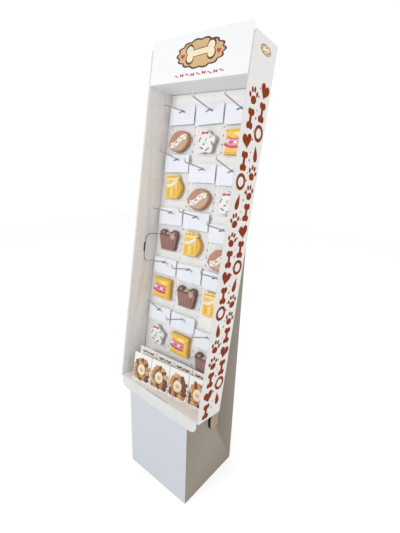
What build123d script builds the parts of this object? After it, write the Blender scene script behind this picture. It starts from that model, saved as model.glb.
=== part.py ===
from build123d import *
import os
from math import asin, cos, degrees, radians, sin, tan

# A leaning peg-hook floor display of folded corrugated board, stocked with carded treat packs and
# small pouches. Lengths are in millimetres and angles in degrees. +X is the display's right as a
# shopper faces it, +Y its back and +Z up. The origin is the centre of the base's underside.

# Shared
cut_overrun = 6.0            # how far a cutting solid runs past the faces it cuts
seat_gap = 0.3               # clearance between pieces that rest on or in one another

# Base with its riser, one folded sheet
base_width = 268.0
base_depth = 256.0
base_board = 4.0
riser_height = 1000.0        # top of the riser above the floor
bottom_slit = 1.0            # gap between the tucked bottom panel and the walls round it

# Hand-hole tabs in the base's sides, hinged along their straight rear edge
hand_hole_width = 56.0
hand_hole_height = 84.0
hand_hole_corner = 38.0
hand_hole_middle = 264.0     # height of the hole's middle above the floor
hand_hole_hinge = 35.0       # how far the hinge line lies behind the base's middle
hand_tab_slit = 1.0
hand_tab_swing = 11.0        # degrees that the tab stands out

# Tray, one folded sheet with double side walls
tray_width = 360.0
tray_depth = 105.0
tray_height = 1048.0
tray_board = 3.5
tray_lean = 8.74             # degrees that the tray leans back
tray_front_height = 357.0    # height of the tray's lower front edge
tray_overhang = 3.0          # how far that edge stands in front of the base
wall_gap = 0.6               # between the two plies of a side wall
wall_round = 3.2             # rounding of the rolled front edge

# Front lip, folded down over the base's front
lip_height = 45.0
lip_corner = 24.0
lip_side_gap = 2.0           # between the end of the lip and the line of the side wall
lip_fold_round = 2.4
lock_slot_length = 98.0
lock_slot_width = 2.5
lock_slot_setback = 0.5

# Tabs die-cut in the inner plies of the side walls
inner_tab_width = 59.0
inner_tab_height = 96.0
inner_tab_corner = 22.0
inner_tab_middle = 459.0     # above the tray's underside
inner_tab_slit = 1.8
inner_tab_front_slit = 4.0

# Header card, folded at its lower edge into a return that runs to the tray's back
header_board = 2.2
header_drop = 96.0           # from the tray's top down to the card's underside
header_rise = 22.0           # from the tray's top up to the card's
header_corner = 12.0
header_setback = 0.5
header_fold_round = 1.5
header_glue_flap = 30.0

# Peg panel, a board insert with folded side flanges
peg_board = 3.0
peg_side_gap = 1.2
peg_top_gap = 1.2
peg_hole_diameter = 5.4
peg_hole_sides = 6           # facets round a hole, few because the holes repeat
peg_hole_pitch = 24.0
peg_first_drop = 51.0        # from the header's underside down to the first row of holes
peg_lowest_height = 58.0     # no row of holes lies lower above the tray's underside

# Wire peg hooks
wire_diameter = 4.2
wire_sides = 6               # facets round the wire, few because the hooks repeat
hook_tail = 18.0             # turned up behind the panel
hook_tail_bend = 3.0
hook_stub = 13.0             # straight length in front of the panel, where a card hangs
hook_arm = 76.0
hook_arm_bend = 9.0
hook_tip = 12.0
hook_tip_bend = 5.0
hook_tip_turn = 62.0         # degrees

# Rows of hooks, as peg holes counted down from the first row, for the left, middle and right columns
hook_holes = ((0, 0, 0), (6, 7, 7), (13, 13, 14), (20, 20, 20), (27, 27, 28))
# Upward tilt of each hook's arm and sideways swing of each pack, in degrees
hook_tilts = ((-3, 9, 8), (9, 5, 14), (6, 8, 9), (8, 7, 14), (36, 10, 14))
pack_swings = ((2.0, 3.5, 2.5), (3.0, 2.5, 3.0), (3.5, 2.0, 3.0), (2.5, 3.0, 2.0), (3.0, 2.5, 3.5))
pack_lowest_height = 97.0    # no pack hangs lower above the tray's underside

# Hang card, folded over the mouth of its bag
card_side_gap = 6.0          # between two cards in a row
card_wall_gap = 13.4         # between the outer cards and the side walls
card_height = 54.0
card_leaf = 0.6
card_gap = 0.5               # between the two leaves
card_above_wire = 12.0
card_standoff = 10.0         # between the card's middle and the peg panel
euro_slot_width = 30.0
euro_slot_height = 10.0
euro_slot_shares = ((-0.50, -0.80), (-0.40, -0.52), (-0.20, -0.40), (-0.12, -0.22), (-0.07, 0.0),
                    (0.07, 0.0), (0.12, -0.22), (0.20, -0.40), (0.40, -0.52), (0.50, -0.80),
                    (0.40, -1.0), (0.0, -0.68), (-0.40, -1.0))

# Clear bag, a film pillow with flat seals
bag_inset = 2.0              # from the card's end in to the bag's side
bag_below_wire = 129.0
bag_film = 0.3
bag_side_seal = 2.0
bag_bottom_seal = 2.0
bag_tongue = 30.0            # flat mouth held between the card's leaves
bag_taper = 8.0              # degrees
bag_card_gap = 1.0           # between the card's lower edge and the pillow

# Iced cookies, each with a gap between its sides and the bag's seals
cookie_thickness = 14.0
cookie_foot_gap = 1.6        # between a cookie and the foot of its bag
ball_side_gap = 1.8
ball_cookie_height = 66.0
ball_cookie_turn = 14.0      # degrees
mug_side_gap = 20.0
mug_cookie_height = 66.0
mug_corner = 6.0
mug_foam_radius = 11.0
mug_handle_width = 24.0
mug_handle_height = 38.0
mug_handle_band = 8.0
cup_side_gap = 6.0
cup_foot_inset = 12.0        # from the brim in to the foot
cup_cookie_height = 52.0
cup_scoop_radius = 16.0
packet_side_gap = 7.5
packet_cookie_height = 70.0
packet_waist_share = 0.94
packet_shoulder_share = 0.34
star_side_gap = 6.0
star_cookie_waist_share = 0.70
star_tip_share = 0.9         # corners farther out than this are the star's tips
star_cookie_points = 5
star_cookie_round = 9.0
cookie_kinds = (("ball", "star", "packet"), ("mug", "ball", "star"), ("cup", "mug", "ball"),
                ("packet", "cup", "mug"), ("star", "packet", "cup"))

# Stand-up pouches on the tray floor, in two slightly askew rows
pouch_row_spare = 43.2       # the tray's inner width less the length of a row
pouch_side_gap = 1.4         # between two pouches in a row
pouch_depth = 10.0
pouch_seal = 1.2             # thickness of the flat seals
pouch_side_taper = 11.0      # width over which a pouch thins to its side seals
pouch_side_shares = ((0.36, 0.0), (0.50, 0.12), (0.36, 0.62))
pouch_top_seal = 7.0
pouch_front_height = 100.0
pouch_rear_height = 112.0
pouch_count = 4
front_row_inset = 36.4       # from the left wall
rear_row_inset = 31.4
# Left and right ends of each row, as shares of the depth in front of the packs
front_row_shares = (0.22, 0.79)
rear_row_shares = (0.60, 0.96)

# Worked out from the sizes above
lean = radians(tray_lean)
tray_front_y = -base_depth / 2 - tray_overhang
tray_place = Location((0, tray_front_y, tray_front_height), (-tray_lean, 0, 0))
wall_thickness = 2 * tray_board + wall_gap
tray_inner_width = tray_width - 2 * wall_thickness
tray_back_face = tray_depth - tray_board
peg_back_face = tray_back_face - wire_diameter - 2 * seat_gap
peg_front_face = peg_back_face - peg_board
header_underside = tray_height - header_drop
header_top = tray_height + header_rise
peg_first_row = header_underside - peg_first_drop
peg_row_count = int((peg_first_row - peg_lowest_height) / peg_hole_pitch) + 1
lowest_hook = pack_lowest_height + bag_below_wire
hook_rows = [row for row in hook_holes if peg_first_row - max(row) * peg_hole_pitch > lowest_hook]
column_names = ("left", "middle", "right")
card_width = (tray_inner_width - 2 * (card_wall_gap + card_side_gap)) / len(column_names)
column_pitch = card_width + card_side_gap
columns = (-column_pitch, 0.0, column_pitch)
card_plane = peg_front_face - card_standoff
card_thickness = 2 * card_leaf + card_gap
bag_width = card_width - 2 * bag_inset
bag_thickness = cookie_thickness + 2 * (bag_film + seat_gap)
pillow_width = bag_width - 2 * bag_side_seal
pouch_room = card_plane - bag_thickness / 2
pouch_pitch = (tray_inner_width - pouch_row_spare) / pouch_count
pouch_width = pouch_pitch - pouch_side_gap


def tray_point(back, up):
    """Y and Z of a point in the tray's own side view, measured back from its front edge and up its lean."""
    return (tray_front_y + back * cos(lean) + up * sin(lean),
            tray_front_height - back * sin(lean) + up * cos(lean))


def d_outline(width, height, corner):
    """A D with its straight edge on the sketch's Y axis and its round front on the left."""
    plate = Rectangle(width, height, align=(Align.MAX, Align.CENTER))
    return fillet(plate.vertices().group_by(Axis.X)[0], corner)


def hand_tab():
    """The right-hand tab, hinged on the wall's inner face and standing out by its swing."""
    outline = d_outline(hand_hole_width - hand_tab_slit, hand_hole_height - 2 * hand_tab_slit,
                        hand_hole_corner - hand_tab_slit)
    tab = extrude(Plane.YZ * outline, amount=base_board)
    hinge = Pos(base_width / 2 - base_board, hand_hole_hinge, hand_hole_middle)
    return hinge * Rot(0, 0, hand_tab_swing) * tab


def base_box():
    """The pedestal: walls, tucked bottom, and the wedge-shaped riser that carries the tray's back."""
    half_depth = base_depth / 2
    front_top = tray_front_height - tray_overhang * tan(lean)
    riser_up = (riser_height - tray_front_height + tray_depth * sin(lean)) / cos(lean)
    outline = Polygon((-half_depth, 0), (-half_depth, front_top), tray_point(tray_depth, 0),
                      tray_point(tray_depth, riser_up), (half_depth, riser_height), (half_depth, 0),
                      align=None)
    envelope = extrude(Plane.YZ * outline, amount=base_width / 2, both=True)
    inner_width = base_width - 2 * base_board
    inner_depth = base_depth - 2 * base_board
    from_bottom = (Align.CENTER, Align.CENTER, Align.MIN)
    inside = Box(inner_width, inner_depth, riser_height - 2 * base_board, align=from_bottom)
    inside = Pos(0, 0, base_board) * inside
    slit_height = base_board + cut_overrun
    side_slit = Box(bottom_slit, inner_depth, slit_height, align=(Align.MAX, Align.CENTER, Align.CENTER))
    back_slit = Box(inner_width, bottom_slit, slit_height, align=(Align.CENTER, Align.MAX, Align.CENTER))
    slits = Pos(inner_width / 2, 0, 0) * side_slit
    slits = slits + mirror(slits, about=Plane.YZ) + Pos(0, inner_depth / 2, 0) * back_slit
    hole = d_outline(hand_hole_width, hand_hole_height, hand_hole_corner)
    hole = Plane.YZ * (Pos(hand_hole_hinge, hand_hole_middle) * hole)
    holes = extrude(hole, amount=base_width / 2 + cut_overrun, both=True)
    tab = hand_tab()
    return envelope - inside - slits - holes + tab + mirror(tab, about=Plane.YZ)


def side_wall():
    """The right side wall: outer ply, rolled front edge and inner ply with its die-cut tab."""
    panel = Rectangle(tray_depth, tray_height, align=Align.MIN)
    inner_face = tray_inner_width / 2
    wall = Pos(inner_face, 0, 0) * extrude(Plane.YZ * panel, amount=wall_thickness)
    front_edges = wall.edges().filter_by(Axis.Z).group_by(Axis.Y)[0]
    wall = fillet(front_edges, wall_round)
    gap_length = tray_depth - 2 * tray_board
    gap = Box(wall_gap, gap_length, tray_height + 2 * cut_overrun, align=(Align.MIN, Align.MIN, Align.MIN))
    wall = wall - Pos(inner_face + tray_board, tray_board, -cut_overrun) * gap
    opening = d_outline(inner_tab_width, inner_tab_height, inner_tab_corner)
    tab = d_outline(inner_tab_width - inner_tab_front_slit, inner_tab_height - 2 * inner_tab_slit,
                    inner_tab_corner - inner_tab_slit)
    slit = extrude(Plane.YZ * (Pos(tray_back_face, inner_tab_middle) * (opening - tab)),
                   amount=tray_board + wall_gap / 2 + cut_overrun)
    return wall - Pos(inner_face - cut_overrun, 0, 0) * slit


def front_lip():
    """The fold at the floor's front edge and the lip below it, hanging plumb against the base's front."""
    fold_start = (tray_overhang - seat_gap - tray_board * (1 + sin(lean))) / cos(lean)
    lip_width = tray_inner_width - 2 * lip_side_gap
    plate = Rectangle(lip_width, lip_height, align=(Align.CENTER, Align.MAX))
    plate = fillet(plate.vertices().group_by(Axis.Y)[0], lip_corner)
    lip = extrude(Plane.XZ * plate, amount=-tray_board)
    lip = Pos(0, fold_start, tray_board) * Rot(tray_lean, 0, 0) * lip
    nose_length = 2 * tray_board - fold_start
    nose = Box(lip_width, nose_length, tray_board, align=(Align.CENTER, Align.MIN, Align.MIN))
    fold = Pos(0, fold_start, 0) * nose + lip
    fold_edge = fold.edges().filter_by(Axis.X).group_by(Axis.Y)[0].sort_by(Axis.Z)[-1]
    return fillet(fold_edge, lip_fold_round)


def tray():
    """The leaning tray in its own frame: X across, Y back from the front edge, Z up the lean."""
    from_front = (Align.CENTER, Align.MIN, Align.MIN)
    wall = side_wall()
    back = Box(tray_width - 2 * tray_board, tray_board, tray_height, align=from_front)
    back = Pos(0, tray_back_face, 0) * back
    floor = Box(tray_inner_width, tray_depth, tray_board, align=from_front)
    top_front = header_setback + header_board + seat_gap
    top = Box(tray_inner_width, tray_depth - top_front, tray_board, align=from_front)
    top = Pos(0, top_front, tray_height - tray_board) * top
    body = wall + mirror(wall, about=Plane.YZ) + back + floor + top + front_lip()
    slot_height = tray_board + wall_gap
    slot = Box(lock_slot_length, lock_slot_width, slot_height, align=(Align.CENTER, Align.MIN, Align.MAX))
    return body - Pos(0, lock_slot_setback, tray_board) * slot


def header_card():
    """Front panel between the side walls, the return that shows as the underside and a glue flap behind."""
    width = tray_inner_width - 2 * seat_gap
    face = Rectangle(width, header_top - header_underside, align=(Align.CENTER, Align.MIN))
    face = fillet(face.vertices().group_by(Axis.Y)[-1], header_corner)
    front = extrude(Plane.XZ * face, amount=-header_board)
    depth = tray_back_face - header_setback - seat_gap
    from_front = (Align.CENTER, Align.MIN, Align.MIN)
    underside = Box(width, depth, header_board, align=from_front)
    flap = Pos(0, depth - header_board, 0) * Box(width, header_board, header_glue_flap, align=from_front)
    card = front + underside + flap
    card = fillet(card.edges().filter_by(Axis.X).group_by(Axis.Z)[0].sort_by(Axis.Y)[0], header_fold_round)
    return Pos(0, header_setback, header_underside) * card


def peg_panel():
    """The pierced board, its side flanges holding it clear of the tray's back."""
    width = tray_inner_width - 2 * peg_side_gap
    height = header_underside - peg_top_gap - tray_board
    plate = Box(width, peg_board, height, align=(Align.CENTER, Align.MIN, Align.MIN))
    flange = Box(peg_board, tray_back_face - peg_front_face, height, align=(Align.MAX, Align.MIN, Align.MIN))
    flange = Pos(width / 2, 0, 0) * flange
    panel = Pos(0, peg_front_face, tray_board) * (plate + flange + mirror(flange, about=Plane.YZ))
    between = [(side * column_pitch / 2, count) for side in (-1, 1) for count in range(peg_row_count)]
    hooked = [(x, count) for row in hook_rows for x, count in zip(columns, row)]
    places = [(x, peg_first_row - count * peg_hole_pitch) for x, count in between + hooked]
    drill_length = peg_board + 2 * cut_overrun
    hole = RegularPolygon(peg_hole_diameter / 2, peg_hole_sides)
    holes = Sketch() + [Pos(x, up) * hole for x, up in places]
    drills = extrude(Plane.XZ * holes, amount=-drill_length)
    return panel - Pos(0, peg_front_face - cut_overrun, 0) * drills


def hook(tilt):
    """One wire hook about its peg hole: tail behind the panel, stub, tilted arm and turned-up tip."""
    tail_back = peg_back_face + seat_gap + wire_diameter / 2
    arm_start = peg_front_face - hook_stub
    arm_way = Vector(0, -cos(radians(tilt)), sin(radians(tilt)))
    tip_way = Vector(0, -cos(radians(tilt + hook_tip_turn)), sin(radians(tilt + hook_tip_turn)))
    bend = Vector(0, arm_start, 0)
    arm_end = bend + arm_way * hook_arm
    tip_end = arm_end + tip_way * hook_tip
    path = FilletPolyline((0, tail_back, hook_tail), (0, tail_back, 0), bend, arm_end, tip_end,
                          radius=(hook_tail_bend, hook_arm_bend, hook_tip_bend))
    start = Plane(origin=path @ 0, z_dir=path % 0)
    return sweep(start * RegularPolygon(wire_diameter / 2, wire_sides), path=path)


def hang_card():
    """A card folded over at the top, pierced by a hanging slot, about the wire that carries it."""
    from_fold = (Align.CENTER, Align.CENTER, Align.MAX)
    outside = Pos(0, 0, card_above_wire) * Box(card_width, card_thickness, card_height, align=from_fold)
    between = Box(card_width + cut_overrun, card_gap, card_height, align=from_fold)
    between = Pos(0, 0, card_above_wire - card_leaf) * between
    slot_top = wire_diameter / 2 + seat_gap
    points = [(across * euro_slot_width, slot_top + down * euro_slot_height)
              for across, down in euro_slot_shares]
    slot = extrude(Plane.XZ * Polygon(*points, align=None), amount=card_thickness, both=True)
    return outside - between - slot


def treat_bag():
    """A clear pillow bag with flat seals and a tongue that the card's leaves hold."""
    card_bottom = card_above_wire - card_height
    pillow_top = card_bottom - bag_card_gap
    pillow_bottom = bag_bottom_seal - bag_below_wire
    middle = (pillow_top + pillow_bottom) / 2

    def pillow(inset):
        size = (pillow_width - 2 * inset, pillow_top - pillow_bottom - 2 * inset)
        half = Plane.XZ * (Pos(0, middle) * Rectangle(*size))
        return extrude(half, amount=bag_thickness / 2 - inset, both=True, taper=bag_taper)

    sheet_height = card_bottom + bag_tongue + bag_below_wire
    sheet = Box(bag_width, bag_film, sheet_height, align=(Align.CENTER, Align.CENTER, Align.MIN))
    return Pos(0, 0, -bag_below_wire) * sheet + pillow(0) - pillow(bag_film)


def ball_outline():
    """A leaf-shaped ball, pointed at both ends."""
    half = pillow_width / 2 - ball_side_gap
    rise = ball_cookie_height / 2
    top = ThreePointArc((-half, 0), (0, rise), (half, 0))
    foot = ThreePointArc((half, 0), (0, -rise), (-half, 0))
    return Rot(0, 0, ball_cookie_turn) * make_face(top + foot)


def mug_outline():
    """A mug with a foam top and an open handle."""
    width = pillow_width - 2 * mug_side_gap
    body = RectangleRounded(width, mug_cookie_height, mug_corner)
    spread = width / 2 - mug_foam_radius
    foam = Sketch() + [Pos(x, mug_cookie_height / 2) * Circle(mug_foam_radius) for x in (-spread, 0, spread)]
    loop = RectangleRounded(mug_handle_width, mug_handle_height, mug_handle_width / 3)
    hole = RectangleRounded(mug_handle_width - 2 * mug_handle_band + mug_corner,
                            mug_handle_height - 2 * mug_handle_band, mug_corner / 2)
    handle = Pos(width / 2 + mug_handle_width / 4, 0) * (loop - hole)
    shape = body + foam + handle
    return Pos(-mug_handle_width / 3, -mug_foam_radius / 2) * shape


def cup_outline():
    """A tapered cup with a scooped top."""
    half = cup_cookie_height / 2
    brim = pillow_width / 2 - cup_side_gap
    foot = brim - cup_foot_inset
    body = Polygon((-foot, -half), (foot, -half), (brim, half), (-brim, half), align=None)
    spread = brim - cup_scoop_radius
    scoops = Sketch() + [Pos(x, half) * Circle(cup_scoop_radius) for x in (-spread, 0, spread)]
    return Pos(0, -cup_scoop_radius / 2) * (body + scoops)


def packet_outline():
    """A snack packet, drawn in a little between its top and foot seals."""
    half_width = pillow_width / 2 - packet_side_gap
    half_height = packet_cookie_height / 2
    waist = half_width * packet_waist_share
    shoulder = half_height * (1 - packet_shoulder_share)
    return Polygon((-half_width, -half_height), (half_width, -half_height), (waist, -shoulder),
                   (waist, shoulder), (half_width, half_height), (-half_width, half_height),
                   (-waist, shoulder), (-waist, -shoulder), align=None)


def star_outline():
    """A plump star with rounded points."""
    radius = pillow_width / 2 - star_side_gap
    turn = 180 / star_cookie_points
    points = []
    for step in range(2 * star_cookie_points):
        reach = radius * (star_cookie_waist_share if step % 2 else 1)
        points.append((reach * sin(radians(step * turn)), reach * cos(radians(step * turn))))
    star = Polygon(*points, align=None)
    tip_reach = radius * star_tip_share
    tips = [corner for corner in star.vertices() if corner.center().length > tip_reach]
    return fillet(tips, star_cookie_round)


def cookie(outline):
    """An iced cookie standing on the foot of its bag."""
    foot = bag_bottom_seal - bag_below_wire + cookie_foot_gap
    lift = foot - outline.bounding_box().min.Y
    return Pos(0, 0, lift) * extrude(Plane.XZ * outline, amount=cookie_thickness / 2, both=True)


def pouch(height):
    """A sealed stand-up pouch: full at the foot, thinning to flat seals at the sides and top."""
    half = pouch_seal / 2
    seal_foot = height - pouch_top_seal

    def section(across, fullness):
        right = [(half + (pouch_depth * share - half) * fullness, seal_foot * up)
                 for share, up in pouch_side_shares]
        right = right + [(half, seal_foot), (half, height)]
        left = [(-depth, up) for depth, up in reversed(right)]
        return Pos(across, 0, 0) * (Plane.YZ * Polygon(*right, *left, align=None))

    edge = pouch_width / 2
    belly = edge - pouch_side_taper
    return loft([section(-edge, 0), section(-belly, 1), section(belly, 1), section(edge, 0)], ruled=True)


def pouch_row(name, inset, end_shares, height):
    """One row of pouches on the tray floor, named from the left and askew between its two ends."""
    shape = pouch(height)
    left_end, right_end = [share * pouch_room for share in end_shares]
    skew = asin((right_end - left_end) / (pouch_count * pouch_pitch))
    for index in range(pouch_count):
        along = (index + 0.5) * pouch_pitch
        across = inset - tray_inner_width / 2 + along * cos(skew)
        spot = Location((across, left_end + along * sin(skew), tray_board), (0, 0, degrees(skew)))
        save(tray_place * spot * shape, f"pouch_{name}_{index + 1}")


def save(shape, node):
    export_step(shape, f"parts/{node}.step")


os.makedirs("parts", exist_ok=True)
save(base_box(), "base_box")
save(tray_place * tray(), "tray")
save(tray_place * header_card(), "header_card")
save(tray_place * peg_panel(), "peg_panel")

cookie_shapes = {
    "ball": cookie(ball_outline()),
    "mug": cookie(mug_outline()),
    "cup": cookie(cup_outline()),
    "packet": cookie(packet_outline()),
    "star": cookie(star_outline()),
}
card_shape = hang_card()
bag_shape = treat_bag()
hooks = {name: [] for name in column_names}
for row, counts in enumerate(hook_rows):
    for column, count in enumerate(counts):
        up = peg_first_row - count * peg_hole_pitch
        wire = Pos(columns[column], 0, up) * hook(hook_tilts[row][column])
        hooks[column_names[column]].append(tray_place * wire)
        hang = tray_place * Location((columns[column], card_plane, up), (0, -pack_swings[row][column], 0))
        place = f"{row + 1}{column + 1}"
        save(hang * card_shape, f"hang_card_{place}")
        save(hang * bag_shape, f"treat_bag_{place}")
        save(hang * cookie_shapes[cookie_kinds[row][column]], f"cookie_{place}")
for name, wires in hooks.items():
    save(Compound(wires), f"hooks_{name}")

pouch_row("front", front_row_inset, front_row_shares, pouch_front_height)
pouch_row("rear", rear_row_inset, rear_row_shares, pouch_rear_height)
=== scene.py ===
from math import acos, asin, atan2, cos, hypot, pi, radians, sin

import bmesh
import bpy
from mathutils import Matrix, Vector


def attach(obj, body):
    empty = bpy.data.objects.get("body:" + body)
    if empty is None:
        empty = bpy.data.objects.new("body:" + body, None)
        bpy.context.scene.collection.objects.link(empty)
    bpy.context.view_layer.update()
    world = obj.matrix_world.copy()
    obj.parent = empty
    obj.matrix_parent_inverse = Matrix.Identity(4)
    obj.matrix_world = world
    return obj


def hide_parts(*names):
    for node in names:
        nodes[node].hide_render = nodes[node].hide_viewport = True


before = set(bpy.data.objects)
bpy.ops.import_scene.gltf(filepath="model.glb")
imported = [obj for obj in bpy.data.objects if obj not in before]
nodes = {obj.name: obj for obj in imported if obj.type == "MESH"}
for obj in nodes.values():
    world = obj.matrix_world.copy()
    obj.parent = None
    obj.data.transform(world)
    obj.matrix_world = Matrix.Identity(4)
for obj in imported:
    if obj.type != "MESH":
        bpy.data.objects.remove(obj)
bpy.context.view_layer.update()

# Looks for a leaning peg-hook floor display. Lengths are in metres, in the frame of the solids.

# Tray and what hangs in it, as in the solids
tray_lean = radians(8.74)
tray_start = Vector((0, -0.131, 0.357))
tray_width = 0.360
tray_board = 0.0035
lip_height = 0.045
header_setback = 0.0005
peg_front_face = 0.0937
peg_back_face = 0.0967
column_pitch = 0.108
peg_first_row = 0.901
peg_hole_pitch = 0.024
hook_holes = ((0, 0, 0), (6, 7, 7), (13, 13, 14), (20, 20, 20), (27, 27, 28))
hook_tilts = ((-3, 9, 8), (9, 5, 14), (6, 8, 9), (8, 7, 14), (36, 10, 14))
pack_swings = ((2.0, 3.5, 2.5), (3.0, 2.5, 3.0), (3.5, 2.0, 3.0), (2.5, 3.0, 2.0), (3.0, 2.5, 3.5))
cookie_kinds = (("ball", "star", "packet"), ("mug", "ball", "star"), ("cup", "mug", "ball"),
                ("packet", "cup", "mug"), ("star", "packet", "cup"))
card_stand_off = 0.010
card_plane = peg_front_face - card_stand_off
card_bottom = -0.042
bag_half_width = 0.049
bag_top = -0.013
bag_foot = -0.129
pillow_half_width = 0.0468
pillow_top = card_bottom - 0.0012
pillow_foot = -0.1268
film_half = 0.00012
seal_cover = 0.24
wire_radius = 0.0021
seat_gap = 0.0003
hook_tail = 0.018
hook_stub = 0.013
hook_arm = 0.076
hook_tip = 0.012
hook_tip_turn = radians(62)
hook_bends = (0.0030, 0.009, 0.005)
lip_overhang = 0.003

tray_frame = Matrix.Translation(tray_start) @ Matrix.Rotation(-tray_lean, 4, "X")


# Materials

def node_adder(tree):
    """A function that adds a node to the tree. Settings go by property, or by a socket's name or number, and
    links by an underscore and the socket's number."""
    def add(kind, settings=None, **links):
        made = tree.nodes.new(kind)
        for key, value in (settings or {}).items():
            if isinstance(key, str) and hasattr(made, key):
                setattr(made, key, value)
            else:
                made.inputs[key].default_value = value
        for key, source in links.items():
            tree.links.new(source, made.inputs[int(key[1:])])
        return made

    return add


def new_material(name):
    """A node material with its tree, its principled shader and a function that adds nodes to it."""
    material = bpy.data.materials.new(name)
    material.use_nodes = True
    tree = material.node_tree
    return material, tree, tree.nodes["Principled BSDF"], node_adder(tree)


def reckon(add, operation, first, second=None):
    """The result of a math node. The second value may be a plain number or a socket."""
    if second is None:
        made = add("ShaderNodeMath", {"operation": operation}, _0=first)
    elif isinstance(second, float):
        made = add("ShaderNodeMath", {"operation": operation, 1: second}, _0=first)
    else:
        made = add("ShaderNodeMath", {"operation": operation}, _0=first, _1=second)
    return made.outputs[0]


def blend(add, tree, share, first, second):
    """Mixes two colours by a share. The second may be a plain colour or a socket."""
    mixed = add("ShaderNodeMix", {"data_type": "RGBA"})
    tree.links.new(share, mixed.inputs[0])
    tree.links.new(first, mixed.inputs[6])
    if isinstance(second, tuple):
        mixed.inputs[7].default_value = (*second, 1)
    else:
        tree.links.new(second, mixed.inputs[7])
    return mixed.outputs[2]


def wandering(add, colour, scale, spread, detail=5.0, roughness=0.6):
    """A colour that wanders a little darker and lighter over the surface."""
    place = add("ShaderNodeTexCoord").outputs["Object"]
    noise = add("ShaderNodeTexNoise", {"Scale": scale, "Detail": detail, "Roughness": roughness}, _0=place)
    ramp = add("ShaderNodeValToRGB", _0=noise.outputs["Fac"])
    dark, light = ramp.color_ramp.elements
    dark.position, light.position = 0.3, 0.7
    dark.color = (*[value * (1 - spread) for value in colour], 1)
    light.color = (*[min(1, value * (1 + spread)) for value in colour], 1)
    return ramp.outputs["Color"]


def speckled(add, colour):
    """A fibre-flecked colour, for an uncoated liner and also for painted shade."""
    return wandering(add, colour, 55.0, 0.06, 7.0, 0.75)


def within(add, place, low, high):
    """One where the surface lies within the box from low to high, else zero."""
    share = None
    for axis, start, end in zip("XYZ", low, high):
        above = reckon(add, "GREATER_THAN", place.outputs[axis], start)
        below = reckon(add, "LESS_THAN", place.outputs[axis], end)
        both = reckon(add, "MULTIPLY", above, below)
        share = both if share is None else reckon(add, "MULTIPLY", share, both)
    return share


def board_material(name, colour, sides=None, zones=(), zone_frame=None):
    """White-faced corrugated board, faintly mottled and rubbed along its edges. sides gives a colour of
    painted shade for the faces that look along X or to the back. Each zone gives the low and high corners and
    the colour of a box whose enclosed faces show another liner, a raw cut edge or painted shade, in the frame
    of the solids or in one given by its place and its turn about X."""
    material, tree, shader, add = new_material(name)
    shader.inputs["Roughness"].default_value = 0.66
    shader.inputs["Specular IOR Level"].default_value = 0.3
    paint = wandering(add, colour, 9.0, 0.018)
    geometry = add("ShaderNodeNewGeometry")
    # Faces that look along X or to the back take the sides colour, which is painted shade
    if sides:
        facing = add("ShaderNodeSeparateXYZ", _0=geometry.outputs["True Normal"])
        across = reckon(add, "ABSOLUTE", facing.outputs["X"])
        painted_shade_faces = reckon(add, "GREATER_THAN", reckon(add, "MAXIMUM", across, facing.outputs["Y"]), 0.5)
        paint = blend(add, tree, painted_shade_faces, paint, speckled(add, sides))
    spot = geometry.outputs["Position"]
    if zone_frame:
        settings = {"vector_type": "TEXTURE", 1: zone_frame[0], 2: (zone_frame[1], 0, 0)}
        spot = add("ShaderNodeMapping", settings, _0=spot).outputs["Vector"]
    place = add("ShaderNodeSeparateXYZ", _0=spot)
    for low, high, zone_colour in zones:
        paint = blend(add, tree, within(add, place, low, high), paint, speckled(add, zone_colour))
    wear = add("ShaderNodeMapRange", {1: 0.53, 2: 0.62, 3: 0.0, 4: 0.35}, _0=geometry.outputs["Pointiness"])
    paint = blend(add, tree, wear.outputs[0], paint, rubbed_edge)
    tree.links.new(paint, shader.inputs["Base Color"])
    return material


def plain_material(name, colour, roughness, scale, spread, **extra):
    """A lightly mottled surface. extra sets further sockets of the shader."""
    material, tree, shader, add = new_material(name)
    tree.links.new(wandering(add, colour, scale, spread), shader.inputs["Base Color"])
    shader.inputs["Roughness"].default_value = roughness
    for socket, value in extra.items():
        shader.inputs[socket.replace("_", " ")].default_value = value
    return material


def icing(name, colour, roughness, spread):
    """Set sugar icing with a little colour left unstirred."""
    return plain_material(name, colour, roughness, 90.0, spread)


def wire_material():
    """Bright zinc on drawn wire, dulled in patches."""
    material, tree, shader, add = new_material("zinc_wire")
    place = add("ShaderNodeTexCoord").outputs["Object"]
    patches = add("ShaderNodeTexNoise", {"Scale": 140.0, "Detail": 4.0}, _0=place)
    shine = add("ShaderNodeMapRange", {3: 0.34, 4: 0.52}, _0=patches.outputs["Fac"])
    tree.links.new(shine.outputs[0], shader.inputs["Roughness"])
    shader.inputs["Base Color"].default_value = (0.50, 0.50, 0.51, 1)
    shader.inputs["Metallic"].default_value = 0.6
    return material


def film_material():
    """Clear crinkled film: see-through, with pale crease streaks as painted highlights and frosted seals
    along its sides and foot.
    """
    material, tree, shader, add = new_material("clear_film")
    place = add("ShaderNodeTexCoord").outputs["Object"]
    crease_highlights = add("ShaderNodeTexNoise", {"Scale": 60.0, "Detail": 2.0, "Distortion": 1.4}, _0=place)
    apart = add("ShaderNodeSeparateXYZ", _0=place)
    beside = reckon(add, "GREATER_THAN", reckon(add, "ABSOLUTE", apart.outputs["X"]), pillow_half_width)
    under = reckon(add, "LESS_THAN", apart.outputs["Z"], pillow_foot)
    frost = reckon(add, "MULTIPLY", reckon(add, "MAXIMUM", beside, under), seal_cover)
    # Pale streaks along the creases are painted highlights on the clear film
    painted_highlight_streak = add("ShaderNodeMapRange", {1: 0.56, 2: 0.72, 3: 0.02, 4: 0.15}, _0=crease_highlights.outputs["Fac"])
    cover = reckon(add, "MAXIMUM", frost, painted_highlight_streak.outputs[0])
    tree.links.new(cover, shader.inputs["Alpha"])
    shader.inputs["Base Color"].default_value = (0.93, 0.94, 0.96, 1)
    shader.inputs["Roughness"].default_value = 0.18
    shader.inputs["Coat Weight"].default_value = 0.7
    return material


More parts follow.
